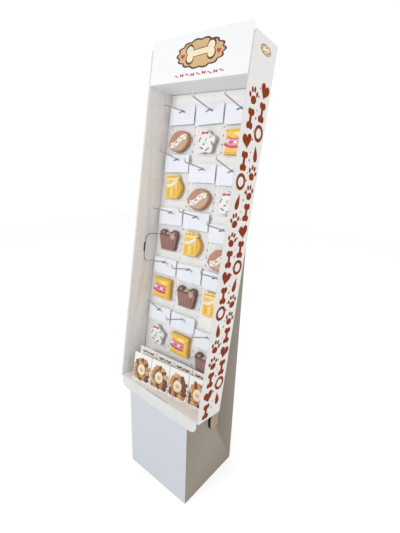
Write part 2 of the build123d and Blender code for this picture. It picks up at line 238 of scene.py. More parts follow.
kraft_liner = (0.50, 0.34, 0.20)
# The hand-hole tab's kraft, darkened as painted shade of the hole
tab_kraft_and_shade = (0.315, 0.215, 0.132)
# Cut edge colour, laid as a line of painted shade on the tray floor behind the locking slot
cut_edge_and_shade = (0.27, 0.215, 0.17)
joint_edge = (0.36, 0.24, 0.14)
slit_shade = (0.40, 0.36, 0.31)
# The slit's head near the panel, painted dark as shade
slit_head_shade = (0.13, 0.105, 0.085)
# Near black painted shade for the locking slot's hole and for a thumb notch on each side wall
painted_gap_shade = (0.030, 0.022, 0.017)
rubbed_edge = (0.60, 0.54, 0.46)
tray_inside = (0.91, 0.885, 0.858)
slot_half = 0.0495


def both_sides(low, high, colour):
    """A zone on the right and its mirror image on the left."""
    return [((-high[0], *low[1:]), (-low[0], *high[1:]), colour), (low, high, colour)]


# The tray's inside faces, the locking slot's hole painted near black as shade and its cut edge as a shade
# line, then on both side walls the tab's shaded slit, and its head and a thumb notch painted dark as shade
tray_zones = [((-0.1765, 0.0004, 0.0004), (0.1765, 0.2, 1.2), tray_inside),
              ((-slot_half, 0.0004, -0.002), (slot_half, 0.0031, 0.00345), painted_gap_shade),
              ((-slot_half, 0.0029, 0.0030), (slot_half, 0.0052, 0.0040), cut_edge_and_shade),
              *both_sides((0.1727, 0.03, 0.40), (0.1764, 0.2, 0.52), slit_shade),
              *both_sides((0.1727, 0.067, 0.50), (0.1764, 0.2, 0.52), slit_head_shade),
              *both_sides((0.1720, 0.0392, 0.447), (0.1764, 0.0468, 0.478), painted_gap_shade)]
tray_board_look = board_material("tray_board", (0.825, 0.845, 0.860), zones=tray_zones,
                                 zone_frame=(tray_start, -tray_lean))
# The bare liner inside the base, its hand-hole tabs in kraft darkened by painted shade, the glued joint at
# its rear corner and its cut top edge
base_zones = [((-0.13385, -0.12785, 0.0002), (0.13385, 0.12785, 1.1), kraft_liner),
              *both_sides((0.1341, -0.05, 0.20), (0.16, 0.05, 0.33), tab_kraft_and_shade),
              ((-0.1345, 0.1278, -0.001), (-0.1301, 0.1285, 1.1), joint_edge),
              ((-0.14, -0.14, 0.9996), (0.14, 0.14, 1.001), joint_edge)]
# The base's sides and back are a dark warm grey of painted shade, against its bluish white front
base_board = board_material("base_board", (0.69, 0.765, 0.875), sides=(0.160, 0.130, 0.102), zones=base_zones)
white_board = board_material("white_board", (0.950, 0.952, 0.962))
white_card = plain_material("white_card", (0.90, 0.905, 0.925), 0.5, 30.0, 0.012)
hanging_card = plain_material("hanging_card", (0.845, 0.870, 0.935), 0.5, 30.0, 0.012)
zinc_wire = wire_material()
clear_film = film_material()
pouch_film = plain_material("pouch_film", (0.90, 0.895, 0.885), 0.30, 40.0, 0.015)
rust_ink = plain_material("rust_ink", (0.235, 0.036, 0.004), 0.7, 70.0, 0.10, Specular_IOR_Level=0.1)
pale_rust_ink = plain_material("pale_rust_ink", (0.42, 0.13, 0.06), 0.7, 70.0, 0.08, Specular_IOR_Level=0.1)
dark_ink = plain_material("dark_ink", (0.075, 0.022, 0.008), 0.48, 70.0, 0.10)
tan_ink = plain_material("tan_ink", (0.66, 0.44, 0.21), 0.48, 50.0, 0.10)
cream_ink = plain_material("cream_ink", (0.90, 0.77, 0.55), 0.48, 50.0, 0.06)
brown_ink = plain_material("brown_ink", (0.175, 0.066, 0.030), 0.48, 90.0, 0.16)
caramel_ink = plain_material("caramel_ink", (0.56, 0.28, 0.10), 0.48, 120.0, 0.22)
red_ink = plain_material("red_ink", (0.50, 0.035, 0.035), 0.48, 70.0, 0.08)
crease_shade = plain_material("crease_shade", (0.62, 0.60, 0.57), 0.7, 70.0, 0.04)
biscuit = plain_material("biscuit", (0.42, 0.21, 0.10), 0.75, 160.0, 0.22)
bun_icing = icing("bun_icing", (0.50, 0.235, 0.145), 0.42, 0.14)
tan_icing = icing("tan_icing", (0.58, 0.385, 0.225), 0.42, 0.12)
white_icing = icing("white_icing", (0.87, 0.86, 0.84), 0.38, 0.03)
grey_icing = icing("grey_icing", (0.16, 0.155, 0.175), 0.40, 0.05)
pale_grey_icing = icing("pale_grey_icing", (0.52, 0.48, 0.44), 0.5, 0.06)
blue_grey_icing = icing("blue_grey_icing", (0.40, 0.44, 0.52), 0.40, 0.05)
green_icing = icing("green_icing", (0.42, 0.46, 0.16), 0.40, 0.08)
yellow_icing = icing("yellow_icing", (0.90, 0.57, 0.065), 0.36, 0.07)
pale_yellow_icing = icing("pale_yellow_icing", (0.93, 0.78, 0.36), 0.36, 0.06)
deep_yellow_icing = icing("deep_yellow_icing", (0.78, 0.43, 0.025), 0.36, 0.07)
red_icing = icing("red_icing", (0.55, 0.030, 0.075), 0.36, 0.07)
pink_icing = icing("pink_icing", (0.80, 0.30, 0.42), 0.36, 0.05)
cocoa_icing = icing("cocoa_icing", (0.29, 0.137, 0.112), 0.50, 0.12)
dark_cocoa_icing = icing("dark_cocoa_icing", (0.145, 0.065, 0.052), 0.50, 0.10)
mid_cocoa_icing = icing("mid_cocoa_icing", (0.265, 0.115, 0.090), 0.50, 0.10)
light_cocoa_icing = icing("light_cocoa_icing", (0.52, 0.36, 0.29), 0.46, 0.08)


# Meshes

def finish_piece(name, mesh_data, materials, matrix, replaced=()):
    """Turns a bmesh into a piece that rides on the display, in place of any named nodes."""
    bmesh.ops.recalc_face_normals(mesh_data, faces=mesh_data.faces)
    mesh = bpy.data.meshes.new(name)
    mesh_data.to_mesh(mesh)
    mesh_data.free()
    for material in materials:
        mesh.materials.append(material)
    piece = bpy.data.objects.new(name, mesh)
    piece.matrix_world = matrix
    bpy.context.scene.collection.objects.link(piece)
    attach(piece, "root")
    if replaced:
        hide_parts(*replaced)
    return piece


def stack(mesh_data, rings, material, smooth=True):
    """Skins a closed body over rings of equally many points and caps both ends."""
    loops = [[mesh_data.verts.new(point) for point in ring] for ring in rings]
    for lower, upper in zip(loops, loops[1:]):
        for index in range(len(lower)):
            after = (index + 1) % len(lower)
            face = mesh_data.faces.new((lower[index], lower[after], upper[after], upper[index]))
            face.material_index = material
            face.smooth = smooth
    for loop in (loops[0], loops[-1]):
        cap = mesh_data.faces.new(loop)
        cap.material_index = material


def pillow(mesh_data, across, upward, half_depth):
    """A closed body of two smooth skins, front and back, that meet in a narrow rim. half_depth gives how far
    each skin stands from the middle plane at a point."""
    skins = []
    for side in (-1, 1):
        skins.append([[mesh_data.verts.new((x, side * half_depth(x, z), z)) for x in across] for z in upward])
    rims = []
    for skin in skins:
        for low, high in zip(skin, skin[1:]):
            for i in range(len(across) - 1):
                face = mesh_data.faces.new((low[i], low[i + 1], high[i + 1], high[i]))
                face.smooth = True
        right = [row[-1] for row in skin[1:]]
        left = [row[0] for row in skin[-2:0:-1]]
        rims.append(skin[0] + right + skin[-1][-2::-1] + left)
    front, back = rims
    for i in range(len(front)):
        j = (i + 1) % len(front)
        mesh_data.faces.new((front[i], front[j], back[j], back[i]))


def inset(outline, amount):
    """The outline moved inwards, for one that runs anticlockwise."""
    points = []
    for index, (x, z) in enumerate(outline):
        before, after = outline[index - 1], outline[(index + 1) % len(outline)]
        way = Vector((after[0] - before[0], after[1] - before[1])).normalized()
        points.append((x - way.y * amount, z + way.x * amount))
    return points


def slab(mesh_data, outline, front, back, edge, material):
    """A plate in the XZ plane from front to back along Y, with its front edge rounded."""
    soft = 0.29
    profile = [(0, front), (0, back)]
    if edge:
        profile = [(edge, front), (soft * edge, front + soft * edge), (0, front + edge), (0, back)]
    rings = [[Vector((x, depth, z)) for x, z in inset(outline, amount)] for amount, depth in profile]
    stack(mesh_data, rings, material, smooth=bool(edge))


def moved(outline, x=0.0, z=0.0, turn=0.0, size=1.0):
    """The outline scaled, turned by degrees and shifted."""
    c, s = cos(radians(turn)) * size, sin(radians(turn)) * size
    return [(x + px * c - pz * s, z + px * s + pz * c) for px, pz in outline]


def ellipse(half_width, half_height, count=28):
    """An ellipse about the origin."""
    turns = [2 * pi * i / count for i in range(count)]
    return [(half_width * cos(turn), half_height * sin(turn)) for turn in turns]


def blob(radius, lobes, depth, count=60, squeeze=1.0):
    """A round patch with a scalloped edge."""
    points = []
    for i in range(count):
        angle = 2 * pi * i / count
        reach = radius * (1 - depth + depth * abs(cos(lobes * angle / 2)))
        points.append((reach * cos(angle), reach * squeeze * sin(angle)))
    return points


def lens(length, height, count=20):
    """Two arcs that meet in points at both ends."""
    half, rise = length / 2, height / 2
    radius = (half * half + rise * rise) / (2 * rise)
    reach = asin(half / radius)
    top = [(radius * sin(a), radius * cos(a) - radius + rise)
           for a in (reach - 2 * reach * i / count for i in range(count))]
    return top + [(-x, -z) for x, z in top]


def rounded_box(width, height, corner, steps=6):
    """A rectangle with round corners."""
    points = []
    for quarter, (sx, sz) in enumerate(((1, 1), (-1, 1), (-1, -1), (1, -1))):
        for i in range(steps + 1):
            angle = pi / 2 * (quarter + i / steps)
            points.append((sx * (width / 2 - corner) + corner * cos(angle),
                           sz * (height / 2 - corner) + corner * sin(angle)))
    return points


def bone(length, knob, shaft_share=0.62, steps=9):
    """A bone along X: a straight shaft between two pairs of round knobs."""
    half = length / 2 - knob
    lift = 0.72 * knob
    shaft = shaft_share * knob
    leave = asin((shaft - lift) / knob)
    meet = asin(lift / knob)
    right = []
    for i in range(steps + 1):
        angle = -meet + (pi - leave + meet) * i / steps
        right.append((half + knob * cos(angle), lift + knob * sin(angle)))
    top_left = [(-x, z) for x, z in reversed(right)]
    bottom_left = [(-x, -z) for x, z in right]
    bottom_right = [(x, -z) for x, z in reversed(right)]
    return right + top_left[:-1] + bottom_left + bottom_right[:-1]


def heart(size, count=36):
    """A heart with its point down."""
    points = []
    for i in range(count):
        t = 2 * pi * i / count
        points.append((size * sin(t) ** 3,
                       size / 16 * (13 * cos(t) - 5 * cos(2 * t) - 2 * cos(3 * t) - cos(4 * t))))
    return points[::-1]


def drop(size, count=30):
    """A leaf or drop, round below and pointed above."""
    points = []
    for i in range(count):
        t = 2 * pi * i / count
        points.append((0.62 * size * sin(t) * sin(t / 2) ** 1.4, -size * cos(t)))
    return [(x, -z) for x, z in points]


def paw(size):
    """A pad and four toes."""
    toes = [(-0.72, 0.22, 24), (-0.27, 0.72, 8), (0.27, 0.72, -8), (0.72, 0.22, -24)]
    pads = [moved(ellipse(0.60, 0.46), z=-0.36 * size, size=size)]
    for x, z, turn in toes:
        pads.append(moved(moved(ellipse(0.23, 0.32, 18), turn=turn), x * size, z * size, size=size))
    return pads


def ribbon(path, width):
    """A band of even width along an open path."""
    left, right = [], []
    for index, (x, z) in enumerate(path):
        before, after = path[max(0, index - 1)], path[min(len(path) - 1, index + 1)]
        way = Vector((after[0] - before[0], after[1] - before[1])).normalized() * (width / 2)
        left.append((x - way.y, z + way.x))
        right.append((x + way.y, z - way.x))
    return right + left[::-1]


def wave(length, rise, waves, width, count=40):
    """A wavy stroke of even width along X."""
    path = [(length * (i / count - 0.5), rise * sin(2 * pi * waves * i / count)) for i in range(count + 1)]
    return ribbon(path, width)


def star(radius, waist_share, points, soft=6):
    """A plump star, its tips rounded by a smooth swing between tip and waist."""
    outline = []
    count = points * 2 * soft
    for i in range(count):
        angle = 2 * pi * i / count
        swing = 0.5 + 0.5 * cos(points * angle)
        reach = radius * (waist_share + (1 - waist_share) * swing ** 1.2)
        outline.append((-reach * sin(angle), reach * cos(angle)))
    return outline


# Printed side panel, header and lip

print_lift = 0.00005
print_sink = 0.00002


def plate(mesh_data, outline, lift, material):
    """A thin printed patch that stands a hair proud of the board behind it."""
    slab(mesh_data, outline, -lift, print_sink, 0.0, material)


def ring_band(mesh_data, outer, inner, lift, material):
    """A thin printed band between two closed outlines of equally many points."""
    edges = ((outer, -lift), (inner, -lift), (inner, print_sink), (outer, print_sink))
    loops = [[mesh_data.verts.new((x, depth, z)) for x, z in outline] for outline, depth in edges]
    for first, second in zip(loops, loops[1:] + loops[:1]):
        for index in range(len(first)):
            after = (index + 1) % len(first)
            face = mesh_data.faces.new((first[index], first[after], second[after], second[index]))
            face.material_index = material


side_frame = Matrix(((0, -1, 0, tray_width / 2),
                     (cos(tray_lean), 0, sin(tray_lean), tray_start.y),
                     (-sin(tray_lean), 0, cos(tray_lean), tray_start.z),
                     (0, 0, 0, 1)))


def emblem(mesh_data, x, z, size, slots):
    """A badge: a scalloped dark rim, a tan field, a cream bone and two red hearts."""
    rim, field, light, accent = slots
    scallops, scallop_depth = 14, 0.10
    bone_lift, bone_turn = 0.003, 4
    heart_reach, heart_drop = 0.062, 0.002
    for level, (radius, squeeze, ink) in enumerate(((0.087, 0.44, rim), (0.080, 0.42, field)), 1):
        patch = blob(radius, scallops, scallop_depth, 84, squeeze)
        plate(mesh_data, moved(patch, x, z, size=size), level * print_lift, ink)
    for level, (length, knob, ink) in enumerate(((0.104, 0.0150, rim), (0.096, 0.0118, light)), 3):
        patch = moved(bone(length, knob), x, z + bone_lift * size, bone_turn, size)
        plate(mesh_data, patch, level * print_lift, ink)
    for side in (-1, 1):
        spot = moved(heart(0.0075), x + side * heart_reach * size, z - heart_drop * size, 0, size)
        plate(mesh_data, spot, 3 * print_lift, accent)


def side_print():
    """Rust-brown motifs in two upright columns on the right side panel, with smaller ones between them."""
    mesh_data = bmesh.new()
    column_places = (0.0285, 0.0775)
    motif_size = 0.0215
    first_row, row_pitch, row_count = 0.032, 0.0515, 18
    motif_lean = 12
    dot_place, dot_lift = 0.053, 0.006
    badge_place, badge_up, badge_share = 0.052, 1.020, 0.30
    order = ("bone", "paw", "heart", "drop", "bone", "ring", "paw")
    for row in range(row_count):
        up = first_row + row * row_pitch
        for column, across in enumerate(column_places):
            kind = order[(row * 2 + column * 3) % len(order)]
            turn = 90 if kind == "bone" else motif_lean * (1 if (row + column) % 2 else -1)
            place = dict(x=across, z=up + column * row_pitch / 2, turn=turn)
            if kind == "bone":
                plate(mesh_data, moved(bone(2.30 * motif_size, 0.40 * motif_size), **place), print_lift, 0)
            elif kind == "paw":
                for pad in paw(motif_size):
                    plate(mesh_data, moved(pad, **place), print_lift, 0)
            elif kind == "heart":
                plate(mesh_data, moved(heart(0.98 * motif_size), **place), print_lift, 0)
            elif kind == "drop":
                plate(mesh_data, moved(drop(motif_size), **place), print_lift, 0)
            else:
                outer, inner = [moved(ellipse(radius, radius, 36), size=motif_size, **place)
                                for radius in (1.01, 0.59)]
                ring_band(mesh_data, outer, inner, print_lift, 0)
        plate(mesh_data, moved(ellipse(0.0034, 0.0034, 14), dot_place, up + dot_lift), print_lift, 1)
        plate(mesh_data, moved(ellipse(0.0022, 0.0022, 12), dot_place, up + row_pitch * 0.5), print_lift, 1)
    emblem(mesh_data, badge_place, badge_up, badge_share, (2, 3, 4, 5))
    inks = [rust_ink, pale_rust_ink, dark_ink, tan_ink, cream_ink, red_ink]
    return finish_piece("side_print", mesh_data, inks, side_frame)


def header_print():
    """The badge on the header card, with a red wavy rule below it."""
    mesh_data = bmesh.new()
    middle, badge_up = 0.012, 1.018
    rule_up, rule_pitch, rule_half = 0.967, 0.0195, 4
    emblem(mesh_data, middle, badge_up, 1.0, (0, 1, 2, 3))
    for index in range(2 * rule_half + 1):
        x = middle + (index - rule_half) * rule_pitch
        outline = wave(0.015, 0.0022, 1, 0.0026, 16) if index % 2 == 0 else bone(0.0135, 0.0024)
        plate(mesh_data, moved(outline, x, rule_up + 0.0008 * (index % 3)), print_lift, 3)
    matrix = tray_frame @ Matrix.Translation((0, header_setback, 0))
    inks = [dark_ink, tan_ink, cream_ink, red_ink]
    return finish_piece("header_print", mesh_data, inks, matrix)


def lip_creases():
    """Pairs of pressed score lines across the front lip, near its ends."""
    mesh_data = bmesh.new()
    first_line, pair_gap, half_line = 0.088, 0.008, 0.0004
    low, high = -lip_height + 0.002, -0.003
    for side in (-1, 1):
        for offset in (0, pair_gap):
            x = side * (first_line + offset)
            line = [(x - half_line, low), (x + half_line, low), (x + half_line, high), (x - half_line, high)]
            plate(mesh_data, line, print_lift, 0)
    fold_start = (lip_overhang - seat_gap - tray_board * (1 + sin(tray_lean))) / cos(tray_lean)
    matrix = tray_frame @ Matrix.Translation((0, fold_start, tray_board)) @ Matrix.Rotation(tray_lean, 4, "X")
    return finish_piece("lip_creases", mesh_data, [crease_shade], matrix)


# Hooks

def hook_line(tilt):
    """Centre line of one hook in its side view, as points along depth and height about its peg hole."""
    tail_back = peg_back_face + seat_gap + wire_radius
    bend = (peg_front_face - hook_stub, 0.0)
    angle = radians(tilt)
    end = (bend[0] - hook_arm * cos(angle), hook_arm * sin(angle))
    tip_angle = angle + hook_tip_turn
    top = (end[0] - hook_tip * cos(tip_angle), end[1] + hook_tip * sin(tip_angle))
    corners = [(tail_back, hook_tail), (tail_back, 0.0), bend, end, top]
    points = [corners[0]]
    for before, corner, after, radius in zip(corners, corners[1:], corners[2:], hook_bends):
        points += bend_points(Vector(before), Vector(corner), Vector(after), radius)
    return points + [corners[-1]]


def bend_points(before, corner, after, radius, steps=6):
    """Points round a bend of that radius between two straight runs."""
    into, out = (before - corner).normalized(), (after - corner).normalized()
    half = acos(max(-1, min(1, into.dot(out)))) / 2
    reach = radius * cos(half) / sin(half)
    middle = corner + (into + out).normalized() * radius / sin(half)
    start, end = corner + into * reach - middle, corner + out * reach - middle
    first, last = atan2(start.y, start.x), atan2(end.y, end.x)
    sweep_angle = (last - first + pi) % (2 * pi) - pi
    return [(middle.x + radius * cos(first + sweep_angle * i / steps),
             middle.y + radius * sin(first + sweep_angle * i / steps)) for i in range(steps + 1)]


def tube(mesh_data, line, radius, material, sides=12):
    """A round wire along a line in the YZ plane, with softened ends."""
    points = [Vector((0, y, z)) for y, z in line]
    ways = []
    for index in range(len(points)):
        ways.append((points[min(index + 1, len(points) - 1)] - points[max(index - 1, 0)]).normalized())
    rounding, end_share = radius * 0.3, 0.55
    stations = [(points[0], ways[0], end_share)]
    for index, (point, way) in enumerate(zip(points, ways)):
        shift = Vector()
        if index == 0:
            shift = way * rounding
        elif index == len(points) - 1:
            shift = -way * rounding
        stations.append((point + shift, way, 1.0))
    stations.append((points[-1], ways[-1], end_share))
    side = Vector((1, 0, 0))
    turns = [2 * pi * i / sides for i in range(sides)]
    rings = []
    for point, way, share in stations:
        other = way.cross(side)
        rings.append([point + (side * cos(turn) + other * sin(turn)) * radius * share for turn in turns])
    stack(mesh_data, rings, material)


def hooks():
    """The wire hooks of each column, round where the solids are faceted."""
    for column, name in enumerate(("left", "middle", "right")):
        mesh_data = bmesh.new()
        for row, counts in enumerate(hook_holes):
            up = peg_first_row - counts[column] * peg_hole_pitch
            line = [(depth, up + height) for depth, height in hook_line(hook_tilts[row][column])]
            tube(mesh_data, line, wire_radius, 0)
        matrix = tray_frame @ Matrix.Translation(((column - 1) * column_pitch, 0, 0))
        finish_piece(f"wire_hooks_{name}", mesh_data, [zinc_wire], matrix, [f"hooks_{name}"])


# Cookies and their bags

cookie_lifts = {"ball": -0.0920, "star": -0.0938, "packet": -0.0904, "mug": -0.0869, "cup": -0.0914}
ball_length, ball_height, ball_turn = 0.0889, 0.0645, 14
star_radius, star_waist_share, star_points = 0.0366, 0.78, 5
packet_width, packet_height = 0.0780, 0.0692
cup_foot, cup_brim, cup_low, cup_high = 0.0288, 0.0407, -0.0338, 0.0178
cookie_half = 0.0058
cookie_edge = 0.0022
icing_front = -0.0062
icing_bed = 0.001
icing_edge = 0.0006
icing_step = 0.0004
piped_edge = 0.0003


def iced(mesh_data, outline, side_material, top_material, border=0.0022):
    """A thick cookie with a layer of icing on its front."""
    slab(mesh_data, outline, -cookie_half, cookie_half, cookie_edge, side_material)
    slab(mesh_data, inset(outline, border), icing_front, -cookie_half + icing_bed, icing_edge, top_material)


def on_top(mesh_data, outline, material, level=1):
    """A raised detail piped on the icing."""
    front = icing_front - icing_step * level
    slab(mesh_data, outline, front, icing_front + icing_step, piped_edge, material)


def below(outline, level):
    """The part of an outline that lies under a level."""
    kept = []
    for (ax, az), (bx, bz) in zip(outline, outline[1:] + outline[:1]):
        if az <= level:
            kept.append((ax, az))
        if (az <= level) != (bz <= level):
            share = (level - az) / (bz - az)
            kept.append((ax + (bx - ax) * share, level))
    return kept


def ball_cookie(mesh_data):
    """A pointed oval bun with a wavy white band and coloured flecks."""
    outline = lens(ball_length, ball_height, 22)
    band_turn = 19

    def band_height(x):
        return 0.0050 * sin(x * 85) + 0.0005

    iced(mesh_data, moved(outline, turn=ball_turn), 0, 1)
    lower = below(inset(outline, 0.0052), -0.004)
    on_top(mesh_data, moved(lower, turn=ball_turn), 7)
    steps = [-0.034 + 0.068 * i / 24 for i in range(25)]
    band = [(x, band_height(x)) for x in steps]
    on_top(mesh_data, moved(ribbon(band, 0.0165), turn=band_turn), 2, 2)
    for index, colour in enumerate((3, 4, 5, 3, 6, 4, 3)):
        x = -0.027 + 0.009 * index
        way = (-1) ** index
        fleck = moved(ellipse(0.0046, 0.0024, 14), x, band_height(x) + 0.003 * way, 35 * way)
        on_top(mesh_data, moved(fleck, turn=band_turn), colour, 3)
    return [biscuit, bun_icing, white_icing, yellow_icing, blue_grey_icing, red_icing, green_icing, tan_icing]


def star_cookie(mesh_data):
    """A plump white star with short grey strokes and a red bow."""
    outline = star(star_radius, star_waist_share, star_points)
    iced(mesh_data, outline, 0, 1, 0.0012)
    for side in (-1, 1):
        on_top(mesh_data, moved(drop(0.0078), side * 0.0058 - 0.005, 0.0265, 90 * side), 2)
    strokes = ((-0.022, 0.008, 0.014, 60), (-0.015, -0.017, 0.013, -25), (0.001, 0.006, 0.011, 75),
               (0.007, -0.021, 0.015, 30), (0.022, -0.004, 0.013, -55), (0.017, 0.014, 0.011, 15),
               (-0.007, -0.006, 0.008, 10))
    for index, (x, z, length, turn) in enumerate(strokes):
        stroke = moved(wave(length, 0.0014, 0.5, 0.0042, 12), x, z, turn)
        on_top(mesh_data, stroke, 4 if index % 3 == 2 else 3)
    return [pale_grey_icing, white_icing, red_icing, grey_icing, blue_grey_icing]


def packet_cookie(mesh_data):
    """A yellow packet, drawn in between its crimped ends, with a red and pink band."""
    waist = 0.94 * packet_width / 2
    shoulder = 0.66 * packet_height / 2
    half_width, half_height = packet_width / 2, packet_height / 2

    def band_height(x, base):
        return 0.0030 * sin(x * 90) - base - 0.22 * x

    outline = [(-half_width, -half_height), (half_width, -half_height), (waist, -shoulder), (waist, shoulder),
               (half_width, half_height), (-half_width, half_height), (-waist, shoulder), (-waist, -shoulder)]
    iced(mesh_data, outline, 0, 1, 0.0012)
    for side in (-1, 1):
        on_top(mesh_data, moved(rounded_box(0.072, 0.0040, 0.0016), z=side * 0.0295), 0)
    steps = [-0.034 + 0.054 * i / 24 for i in range(25)]
    band = [(x, band_height(x, 0.004)) for x in steps]
    on_top(mesh_data, ribbon(band, 0.0270), 2)
    on_top(mesh_data, moved(ribbon(band, 0.0175), z=0.002), 3, 2)
    for index in range(4):
        x = -0.028 + 0.0135 * index
        chip = moved(lens(0.0125, 0.0072, 8), x, band_height(x, 0.002), 40 - 26 * index)
        on_top(mesh_data, chip, 4 if index % 2 == 0 else 2, 3)
    on_top(mesh_data, moved(lens(0.030, 0.010, 10), 0.006, 0.0195, -8), 5)
    on_top(mesh_data, moved(rounded_box(0.0052, 0.050, 0.0022), 0.0318), 0)
    return [deep_yellow_icing, yellow_icing, red_icing, pink_icing, white_icing, pale_yellow_icing]


def mug_cookie(mesh_data):
    """A yellow mug with an angular handle, foam on its rim and a white swoosh."""
    body = moved(rounded_box(0.0535, 0.0655, 0.0058), -0.008, -0.0055)
    iced(mesh_data, body, 0, 1, 0.0012)
    handle = [(0.0120, -0.0330), (0.0215, -0.0320), (0.0300, -0.0215), (0.0355, -0.0055), (0.0305, 0.0105),
              (0.0220, 0.0205), (0.0120, 0.0215)]
    sunk = 0.0006
    slab(mesh_data, handle, sunk - cookie_half, cookie_half - sunk, cookie_edge, 0)
    slab(mesh_data, inset(handle, 0.0014), icing_front + sunk, sunk - cookie_half + icing_bed, icing_edge, 3)
    grip = [(0.0215, -0.0245), (0.0270, -0.0170), (0.0300, -0.0055), (0.0270, 0.0055), (0.0215, 0.0130)]
    on_top(mesh_data, ribbon(grip, 0.0034), 1)
    for x in (-0.024, -0.008, 0.008):
        foam = moved(blob(0.0108, 6, 0.08, 36), x, 0.0272)
        slab(mesh_data, foam, icing_front - icing_step, cookie_half, 0.0024, 4)
    on_top(mesh_data, moved(rounded_box(0.046, 0.0060, 0.0028), -0.008, 0.0300, 3), 3, 2)
    steps = [-0.030 + 0.044 * i / 16 for i in range(17)]
    swoosh = [(x, 0.010 + 0.0035 * sin(x * 110) + 0.25 * x) for x in steps]
    on_top(mesh_data, ribbon(swoosh, 0.0090), 2, 2)
    on_top(mesh_data, ribbon([(0.0060, 0.0100), (0.0155, -0.0030), (0.0090, -0.0170)], 0.0034), 4, 3)
    for index in range(3):
        x = -0.0225 + 0.0140 * index
        on_top(mesh_data, moved(rounded_box(0.0056, 0.026, 0.0026), x, -0.0185), 4 if index % 2 else 3)
    return [deep_yellow_icing, yellow_icing, white_icing, deep_yellow_icing, pale_yellow_icing]


def cup_cookie(mesh_data):
    """A brown cup that widens upwards, with three scoops over its brim."""
    outline = [(-cup_foot, cup_low), (cup_foot, cup_low), (cup_brim, cup_high), (-cup_brim, cup_high)]
    for index, x in enumerate((-0.0248, 0.0, 0.0248)):
        dip = 0.0075 if index == 1 else 0.0
        scoop = moved(blob(0.0158, 7, 0.08, 42), x, cup_high + 0.0002 - dip)
        back = cookie_half - 0.0006 * (index + 1)
        slab(mesh_data, scoop, -cookie_half + icing_bed, back, 0.0030, 3 if index == 1 else 1)
        on_top(mesh_data, moved(ellipse(0.0042, 0.0026, 14), x + 0.003, cup_high + 0.006, 30), 3)
    iced(mesh_data, outline, 1, 0, 0.0016)
    on_top(mesh_data, moved(rounded_box(0.0785, 0.0050, 0.0022), z=cup_high - 0.0034), 1)
    for index in range(4):
        x = -0.0225 + 0.015 * index
        stripe = ribbon([(x * 0.90, cup_low + 0.006), (x * 1.16, cup_high - 0.011)], 0.0036)
        on_top(mesh_data, stripe, 1 if index == 3 else 2)
    on_top(mesh_data, moved(blob(0.0105, 5, 0.16, 30), 0.021, cup_high - 0.005), 3, 2)
    return [cocoa_icing, dark_cocoa_icing, mid_cocoa_icing, light_cocoa_icing]


# What the film of a bag is drawn over, for each kind of cookie
cookie_outlines = {
    "ball": moved(lens(ball_length, ball_height, 14), turn=ball_turn),
    "star": star(star_radius, star_waist_share, star_points, 4),
    "packet": rounded_box(packet_width, packet_height, 0.001, 2),
    "mug": moved(rounded_box(0.0720, 0.0770, 0.010, 4), 0.001),
    "cup": [(-cup_foot, cup_low), (cup_foot, cup_low), (cup_brim, cup_high), (0.033, 0.0335),
            (-0.033, 0.0335), (-cup_brim, cup_high)],
}
cookie_makers = {"ball": ball_cookie, "star": star_cookie, "packet": packet_cookie, "mug": mug_cookie,
                 "cup": cup_cookie}


def distance_outside(point, outline):
    """How far a point lies outside a closed outline, zero within it."""
    px, pz = point
    inside, nearest = False, 1.0
    for (ax, az), (bx, bz) in zip(outline, outline[1:] + outline[:1]):
        if (az > pz) != (bz > pz) and px < (bx - ax) * (pz - az) / (bz - az) + ax:
            inside = not inside
        run = (bx - ax) ** 2 + (bz - az) ** 2
        share = max(0.0, min(1.0, ((px - ax) * (bx - ax) + (pz - az) * (bz - az)) / run)) if run else 0.0
        nearest = min(nearest, hypot(px - ax - share * (bx - ax), pz - az - share * (bz - az)))
    return 0.0 if inside else nearest


def bag(name, kind, seed, matrix, node):
    """A film bag drawn over its cookie: full over the cookie, tented out to flat seals, with soft creases."""
    mesh_data = bmesh.new()
    full, margin = 0.0077, 0.001
    crease_height, crease_fade = 0.00014, 0.008
    columns, rows = 36, 34
    outline = cookie_outlines[kind]
    across = [bag_half_width * (2 * i / columns - 1) for i in range(columns + 1)]
    upward = [bag_foot + (pillow_top + margin - bag_foot) * j / rows for j in range(rows + 1)] + [bag_top]

    def bulge(x, z):
        rim = min(pillow_half_width - abs(x), pillow_top - z, z - pillow_foot)
        if rim <= 0:
            return film_half
        away = distance_outside((x, z - cookie_lifts[kind]), outline)
        share = rim / (rim + away) if away else 1.0
        crease = sin(210 * x + 1.7 * seed + 90 * z) + sin(-160 * x + 240 * z + seed)
        return film_half + full * share ** 0.75 + crease_height * crease * min(1.0, rim / crease_fade)

    pillow(mesh_data, across, upward, bulge)
    return finish_piece(name, mesh_data, [clear_film], matrix, [node])


def packs():
    """Each pack's iced cookie and film bag. Its folded card is the solid's own, with a better finish."""
    for row, counts in enumerate(hook_holes):
        for column, count in enumerate(counts):
            place = f"{row + 1}{column + 1}"
            kind = cookie_kinds[row][column]
            up = peg_first_row - count * peg_hole_pitch
            hang = tray_frame @ Matrix.Translation(((column - 1) * column_pitch, card_plane, up))
            hang = hang @ Matrix.Rotation(-radians(pack_swings[row][column]), 4, "Y")
            mesh_data = bmesh.new()
            materials = cookie_makers[kind](mesh_data)
            lifted = hang @ Matrix.Translation((0, 0, cookie_lifts[kind]))
            finish_piece(f"iced_cookie_{place}", mesh_data, materials, lifted, [f"cookie_{place}"])
            bag(f"film_bag_{place}", kind, 3 * row + column, hang, f"treat_bag_{place}")


# Pouches

pouch_width = 0.074
pouch_pitch = 0.0754
pouch_depth = 0.010
pouch_seal = 0.0012
pouch_seal_height = 0.007
pouch_side_slope = 0.012
crimp_height = 0.006
crimp_pitch = 0.0016
pouches_in_row = 4
rear_seed = 5
badge_height = 0.045
# Where each row starts on the tray floor, its skew in degrees and the height of its pouches
pouch_rows = {"front": ((-0.136, 0.01674), 8.27, 0.100), "rear": ((-0.141, 0.04566), 5.21, 0.112)}


